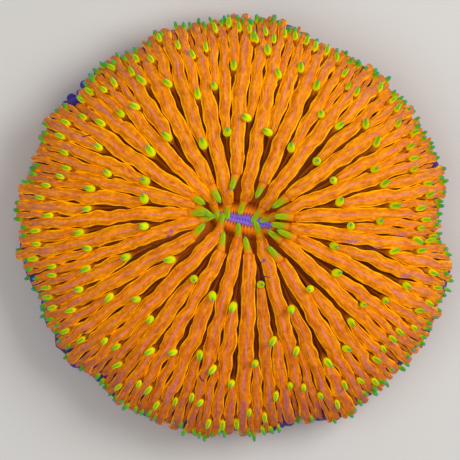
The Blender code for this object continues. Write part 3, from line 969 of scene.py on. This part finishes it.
def tentacle_roots(kind, seed):
    """One root for each tentacle of a kind."""
    draw = random.Random(seed)
    length, girth, lean, lean_spread, side_spread, droop = TENTACLE_KINDS[kind]
    fingers = []
    for place, start, ridge_kind in RIDGES:
        if ridge_kind != kind:
            continue
        line = course(place)
        setback = INNER_ROOT_SETBACK if kind == "large" else 0.0
        stage = (start + setback) / line["reach"]
        base, outward, across = (
            read_course(line, key, [stage])[0] for key in ("point", "outward", "across")
        )
        ahead = np.cross(across, outward)
        angle = math.radians(lean + draw.uniform(-lean_spread, lean_spread))
        aim = outward * math.cos(angle) + ahead * math.sin(angle) + FLOW
        aim += across * draw.uniform(-side_spread, side_spread)
        scale = draw.uniform(0.9, 1.1)
        wide = girth * draw.uniform(0.92, 1.08) * MM
        drooping = (ahead * droop + across * draw.uniform(-0.1, 0.1)) * MM
        root = base - outward * ROOT_DEPTHS[kind]
        fingers.append((root, aim / np.linalg.norm(aim), drooping, wide, length * scale * MM))
    return make_roots(f"{kind}_tentacle_roots", fingers, [draw.random() for _ in fingers])


def tentacle_tree():
    """Geometry Nodes that stand one soft finger on each root, lean it and let its tip droop."""
    inputs = {"Roots": "Geometry", "Segments": "Int", "Rings": "Int"}
    inputs.update({"Taper": "Float", "Base width": "Float", "Flesh": "Material"})
    tree, add, given = new_tree("tentacles", inputs, "Tentacles")
    place = add("GeometryNodeInputPosition")
    ball = add(
        "GeometryNodeMeshUVSphere", {"Segments": given["Segments"], "Rings": given["Rings"], "Radius": 1.0}
    )
    parts = add("ShaderNodeSeparateXYZ", [place]).outputs
    up = add("ShaderNodeMath", [parts["Z"], 0.5, 0.5], operation="MULTIPLY_ADD")
    marked = add(
        "GeometryNodeStoreNamedAttribute", {"Geometry": ball, "Name": "up", "Value": up}, data_type="FLOAT"
    )
    stored_up = add("GeometryNodeInputNamedAttribute", {"Name": "up"}, data_type="FLOAT")

    # Round ends, and a straight taper between them: (1 - z^4)^0.5 (1 - taper up).
    fourth = add("ShaderNodeMath", [parts["Z"], 4.0], operation="POWER")
    rest = add("ShaderNodeMath", [1.0, fourth], operation="SUBTRACT")
    rounded = add("ShaderNodeMath", [rest, 0.5], operation="POWER")
    lost = add("ShaderNodeMath", [stored_up, given["Taper"]], operation="MULTIPLY")
    kept = add("ShaderNodeMath", [1.0, lost], operation="SUBTRACT")
    tapered = add("ShaderNodeMath", [rounded, kept], operation="MULTIPLY")
    from_base = add(
        "ShaderNodeMapRange", {"Value": stored_up, "From Max": 0.5, "To Min": given["Base width"]},
        interpolation_type="SMOOTHSTEP",
    )
    half_width = add("ShaderNodeMath", [tapered, from_base], operation="MULTIPLY")
    level = add("ShaderNodeVectorMath", [place, (1.0, 1.0, 0.0)], operation="MULTIPLY")
    spoke = add("ShaderNodeVectorMath", [level], operation="NORMALIZE")
    reached = add("ShaderNodeVectorMath", {0: spoke, "Scale": half_width}, operation="SCALE")
    reached_parts = add("ShaderNodeSeparateXYZ", [reached]).outputs
    finger_point = add(
        "ShaderNodeCombineXYZ", {"X": reached_parts["X"], "Y": reached_parts["Y"], "Z": stored_up}
    )
    finger = add("GeometryNodeSetPosition", {"Geometry": marked, "Position": finger_point})
    read = {
        name: add("GeometryNodeInputNamedAttribute", {"Name": name}, data_type=kind)
        for names, kind in ((("aim", "droop"), "FLOAT_VECTOR"), (("girth", "length"), "FLOAT"))
        for name in names
    }
    turned = add("FunctionNodeAlignRotationToVector", {"Vector": read["aim"]}, axis="Z")
    size = add("ShaderNodeCombineXYZ", {"X": read["girth"], "Y": read["girth"], "Z": read["length"]})
    standing = add(
        "GeometryNodeInstanceOnPoints",
        {"Points": given["Roots"], "Instance": finger, "Rotation": turned, "Scale": size},
    )
    realized = add("GeometryNodeRealizeInstances", {"Geometry": standing})
    curved = add("ShaderNodeMath", [stored_up, stored_up], operation="MULTIPLY")
    sag = add("ShaderNodeVectorMath", {0: read["droop"], "Scale": curved}, operation="SCALE")
    drooped = add("GeometryNodeSetPosition", {"Geometry": realized, "Offset": sag})
    smooth = add("GeometryNodeSetShadeSmooth", {"Geometry": drooped})
    covered = add("GeometryNodeSetMaterial", {"Geometry": smooth, "Material": given["Flesh"]})
    add("NodeGroupOutput", {"Tentacles": covered})
    return tree


# Soft skin packed with green fluorescent pigment, thinner and paler at the tip, with a faint painted
# glow. It is darker where it faces up, partly pigment and partly painted shade, so that its sides
# show brighter as painted light through the thin flesh.
def tentacle_flesh(name, pigment_and_shade_colour, core_from, stops):
    material, tree, skin = new_material(name)
    add = partial(add_node, tree)
    up, chance = (
        add("ShaderNodeAttribute", attribute_name=label).outputs["Fac"] for label in ("up", "chance")
    )
    place = add("ShaderNodeTexCoord").outputs["Object"]
    patches = add("ShaderNodeTexNoise", {"Vector": place, "Scale": 2200.0, "Detail": 2.0})
    centred = add("ShaderNodeMath", [patches, 0.5], operation="SUBTRACT")
    uneven = add("ShaderNodeMath", [centred, 0.08, up], operation="MULTIPLY_ADD")
    edge_colours = add("ShaderNodeValToRGB", {"Fac": uneven}, stops)
    upward = add("ShaderNodeSeparateXYZ", [add("ShaderNodeNewGeometry").outputs["Normal"]]).outputs["Z"]
    # Painted shade and pigment: darker where the skin faces up.
    painted_top_shade = add(
        "ShaderNodeMapRange", {"Value": upward, "From Min": 0.62, "From Max": 0.95, "To Max": 0.85},
        interpolation_type="SMOOTHSTEP",
    )
    below_tip = add(
        "ShaderNodeMapRange",
        {"Value": up, "From Min": 0.965, "From Max": 0.985, "To Min": 1.0, "To Max": 0.0},
    )
    above_base = add(
        "ShaderNodeMapRange", {"Value": up, "From Min": core_from, "From Max": core_from + 0.3}
    )
    inside = add("ShaderNodeMath", [painted_top_shade, below_tip], operation="MULTIPLY")
    top_shade_there = add("ShaderNodeMath", [inside, above_base], operation="MULTIPLY")
    colours = add(
        "ShaderNodeMix", {0: top_shade_there, 6: edge_colours, 7: linear(pigment_and_shade_colour)}, data_type="RGBA"
    )
    varied = add("ShaderNodeMath", [chance, 0.22, 0.88], operation="MULTIPLY_ADD")
    colour = add("ShaderNodeVectorMath", {0: colours, "Scale": varied}, operation="SCALE")
    with_painted_glow(tree, skin, colour, 0.15, {"Roughness": 0.45, "IOR": 1.36, "Specular IOR Level": 0.25})
    return material


finger_tree = tentacle_tree()


def make_fingers(name, roots, shape, flesh):
    """Stands a finger of one shape on each root."""
    labels = ("Segments", "Rings", "Taper", "Base width")
    return made_by_nodes(roots, finger_tree, {**dict(zip(labels, shape)), "Flesh": flesh}, name)


GREEN_COLOURS = [
    (0.0, "#D88400"), (0.16, "#E0B800"), (0.3, "#DCE000"), (0.7, "#CCE400"), (0.93, "#A8D000"),
    (0.965, "#5C8C3C"), (0.98, "#5A7890"), (1.0, "#A8BCD0"),
]
green_flesh = tentacle_flesh("green_tentacle_flesh", "#649A00", 0.2, GREEN_COLOURS)
INNER_COLOURS = [
    (0.0, "#E87C00"), (0.28, "#DC8400"), (0.42, "#BC9400"), (0.56, "#ACB800"), (0.84, "#A8DC00"),
    (0.94, "#6CB428"), (0.975, "#4C8088"), (1.0, "#90ACC8"),
]
inner_flesh = tentacle_flesh("inner_tentacle_flesh", "#7E9A00", 0.34, INNER_COLOURS)
for seed, (kind, shape) in enumerate(TENTACLE_SHAPES.items(), FIRST_TENTACLE_SEED):
    flesh = inner_flesh if kind == "large" else green_flesh
    tentacles = make_fingers(f"{kind}_tentacles", tentacle_roots(kind, seed), shape, flesh)
    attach(tentacles, "root")
    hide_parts("coral")

# The rim's tips. The youngest tentacles are small green fingers with blue ends, which point out
# between the lobes along the edge.

RIM_TIP_SEED = 31
RIM_TIP_LENGTH = 1.0
RIM_TIP_HALF_WIDTH = 0.23
RIM_TIP_CHANCE = 0.85
RIM_TIP_DEPTH = 0.45
RIM_TIP_SHAPE = (8, 6, 0.3, 0.7)


def rim_tip_roots():
    """One root for each young tentacle in the gaps between the ridges' lobes at the edge."""
    draw = random.Random(RIM_TIP_SEED)
    fingers = []
    for index, (place, _, _) in enumerate(RIDGES):
        following = RIDGES[index + 1][0] if index + 1 < len(RIDGES) else float(len(LARGE_RIDGES))
        if draw.random() > RIM_TIP_CHANCE:
            continue
        line = course(place + (following - place) * draw.uniform(0.35, 0.65))
        stage = draw.uniform(0.965, 1.0)
        base, outward, across = (
            read_course(line, key, [stage])[0] for key in ("point", "outward", "across")
        )
        level = np.array([base[0], base[1], 0.0]) / math.hypot(base[0], base[1])
        aim = level + np.array([0.0, 0.0, draw.uniform(0.0, 0.5)]) + across * draw.uniform(-0.35, 0.35)
        root = base - outward * RIM_TIP_DEPTH - level * draw.uniform(0.05, 0.3)
        girth = RIM_TIP_HALF_WIDTH * draw.uniform(0.85, 1.15) * MM
        length = RIM_TIP_LENGTH * draw.uniform(0.85, 1.15) * MM
        droop = np.array([0.0, 0.0, draw.uniform(-0.05, 0.15)]) * MM
        fingers.append((root, aim / np.linalg.norm(aim), droop, girth, length))
    return make_roots("rim_tip_roots", fingers, [draw.random() for _ in fingers])


BLUE_TIPPED_COLOURS = [
    (0.0, "#D08800"), (0.3, "#B8B800"), (0.5, "#7CC000"), (0.76, "#2FA020"), (0.9, "#2F90A0"),
    (0.96, "#3080E8"), (1.0, "#4C9CF8"),
]
blue_tipped_flesh = tentacle_flesh("blue_tipped_flesh", "#4F9A10", 0.3, BLUE_TIPPED_COLOURS)
rim_tips = make_fingers("rim_tips", rim_tip_roots(), RIM_TIP_SHAPE, blue_tipped_flesh)
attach(rim_tips, "root")
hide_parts("coral")

# The violet fringe. Where the skin under the rim has swollen it hangs out past the lobes as a row
# of small round violet ones.

# For each lobe: its direction in degrees, and its length and half width in mm.
FRINGE_LOBES = [
    (131.5, 1.2, 0.34), (133.5, 1.3, 0.42), (136.0, 1.7, 0.50), (138.6, 1.5, 0.42), (141.2, 1.8, 0.54),
    (143.6, 1.5, 0.44), (146.0, 1.2, 0.36), (281.5, 1.1, 0.34), (284.0, 1.4, 0.42), (286.5, 1.6, 0.48),
    (289.0, 1.2, 0.40), (197.0, 1.0, 0.32), (200.0, 1.1, 0.36), (203.0, 1.2, 0.38), (219.0, 1.2, 0.38),
    (222.0, 1.3, 0.40), (225.5, 1.2, 0.36), (262.0, 1.1, 0.34),
]
FRINGE_SETBACK = 1.1
FRINGE_DROP = 1.0
FRINGE_SHAPE = (10, 8, 0.1, 0.8)


def fringe_roots():
    """One root for each violet lobe, just under the edge."""
    fingers = []
    for degrees, length, girth in FRINGE_LOBES:
        direction = math.radians(degrees)
        level = np.array([math.cos(direction), math.sin(direction), 0.0])
        inward = level * (rim_radius(direction) - FRINGE_SETBACK)
        root = inward + np.array([0.0, 0.0, RIM_HEIGHT - FRINGE_DROP])
        aim = level + np.array([0.0, 0.0, -0.12])
        fingers.append((root, aim, (0.0, 0.0, 0.0), girth * MM, length * MM))
    count = len(fingers)
    return make_roots("fringe_roots", fingers, [index / count for index in range(count)])


VIOLET_COLOURS = [(0.0, "#9C5460"), (0.4, "#744490"), (0.62, "#4A3698"), (0.9, "#3A3098"), (1.0, "#5448B8")]
violet_flesh = tentacle_flesh("violet_fringe_flesh", "#4A3CC0", 0.9, VIOLET_COLOURS)
fringe = make_fingers("violet_fringe", fringe_roots(), FRINGE_SHAPE, violet_flesh)
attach(fringe, "root")
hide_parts("coral")

# The algae strands. Five stray threads of filament algae, dull and dark and about a millimetre
# long, are caught on the ridges. Each is a thin round tube on a smooth curve.

STRANDS = [
    [(-13.69, -9.61, 7.36), (-13.36, -9.43, 7.60), (-12.95, -9.54, 7.20)],
    [(-13.75, 8.29, 8.04), (-13.40, 8.40, 8.07), (-12.95, 8.45, 8.05)],
    [(-3.04, -13.53, 8.75), (-2.81, -13.90, 8.72), (-2.60, -14.06, 8.66)],
    [(2.30, -3.48, 8.90), (2.50, -3.30, 9.35), (2.72, -3.14, 9.86)],
    [(2.50, -4.80, 9.00), (2.68, -4.52, 9.70), (2.95, -4.45, 9.95), (3.40, -4.55, 10.12)],
]
STRAND_HALF_WIDTH = 0.06


def strand_mesh():
    """The strands as thin round tubes on smooth curves."""
    curves = bpy.data.curves.new("algae_strands", "CURVE")
    curves.dimensions = "3D"
    curves.bevel_depth = STRAND_HALF_WIDTH * MM
    curves.bevel_resolution = 1
    curves.use_fill_caps = True
    curves.resolution_u = 4
    for strand in STRANDS:
        spline = curves.splines.new("BEZIER")
        spline.bezier_points.add(len(strand) - 1)
        for knot, point in zip(spline.bezier_points, strand):
            knot.co = [value * MM for value in point]
            knot.handle_left_type = knot.handle_right_type = "AUTO"
    source = add_object("algae_strands", curves)
    mesh = bpy.data.meshes.new_from_object(source.evaluated_get(bpy.context.evaluated_depsgraph_get()))
    bpy.data.objects.remove(source, do_unlink=True)
    weld(mesh)
    return add_object("algae_strands", mesh)


# Filament algae: dark violet-brown and dull.
def algae():
    material, tree, thread = new_material("filament_algae")
    set_inputs(tree, thread, {"Base Color": linear("#4A2058"), "Roughness": 0.7})
    return material


strands = strand_mesh()
strands.data.materials.clear()
strands.data.materials.append(algae())
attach(strands, "root")
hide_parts("coral")

# The studio. A plain pale floor, a large soft lamp above on the right, a weaker one on the left and
# an even pale sky.

FLOOR_HALF_WIDTH = 400.0
FLOOR_HEIGHT = -0.05
corners = [(-1, -1), (1, -1), (1, 1), (-1, 1)]
corners = [(x * FLOOR_HALF_WIDTH, y * FLOOR_HALF_WIDTH, FLOOR_HEIGHT) for x, y in corners]
floor = mesh_object("floor", corners, [(0, 1, 2, 3)])


# Matt studio paper: no gloss, one even tone.
def studio_paper():
    material, tree, paper = new_material("studio_paper")
    set_inputs(tree, paper, {"Base Color": linear("#DAD8D4"), "Roughness": 0.9})
    return material


floor.data.materials.append(studio_paper())


LAMP_AIM = (0.0, 0.0, 5.0)


def soft_lamp(name, size, watts, place):
    """A square area lamp, in millimetres, turned to face the coral."""
    data = bpy.data.lights.new(name, "AREA")
    data.shape = "SQUARE"
    data.size = size * MM
    data.energy = watts
    lamp = add_object(name, data)
    lamp.location = np.array(place) * MM
    lamp.rotation_euler = (Vector(LAMP_AIM) - Vector(place)).to_track_quat("-Z", "Y").to_euler()


soft_lamp("key_lamp", 160.0, 0.42, (170.0, 60.0, 190.0))
soft_lamp("fill_lamp", 260.0, 0.22, (-120.0, -60.0, 260.0))

sky = bpy.data.worlds.new("even_sky")
sky.use_nodes = True
light = sky.node_tree.nodes["Background"]
set_inputs(sky.node_tree, light, {"Color": (1.0, 1.0, 1.0, 1.0), "Strength": 0.35})
bpy.context.scene.world = sky
bpy.context.scene.view_settings.view_transform = "Standard"

# The camera looks straight down, as the photo's does: 460 pixels across a field of 42.4 mm at the
# rim's level.
PHOTO_WIDTH = 460
PIXELS_PER_MM = 10.85
ORIGIN_PIXEL = (232.5, 227.7)
CAMERA_HEIGHT = 600.0
SENSOR_WIDTH = 36.0
camera_data = bpy.data.cameras.new("camera")
camera_data.sensor_width = SENSOR_WIDTH
camera_data.lens = SENSOR_WIDTH * (CAMERA_HEIGHT - RIM_HEIGHT) / (PHOTO_WIDTH / PIXELS_PER_MM)
camera_data.clip_start = 0.01
camera_data.clip_end = 10.0
camera = add_object("camera", camera_data)
camera.location = (
    (PHOTO_WIDTH / 2 - ORIGIN_PIXEL[0]) / PIXELS_PER_MM * MM,
    (ORIGIN_PIXEL[1] - PHOTO_WIDTH / 2) / PIXELS_PER_MM * MM,
    CAMERA_HEIGHT * MM,
)
bpy.context.scene.camera = camera
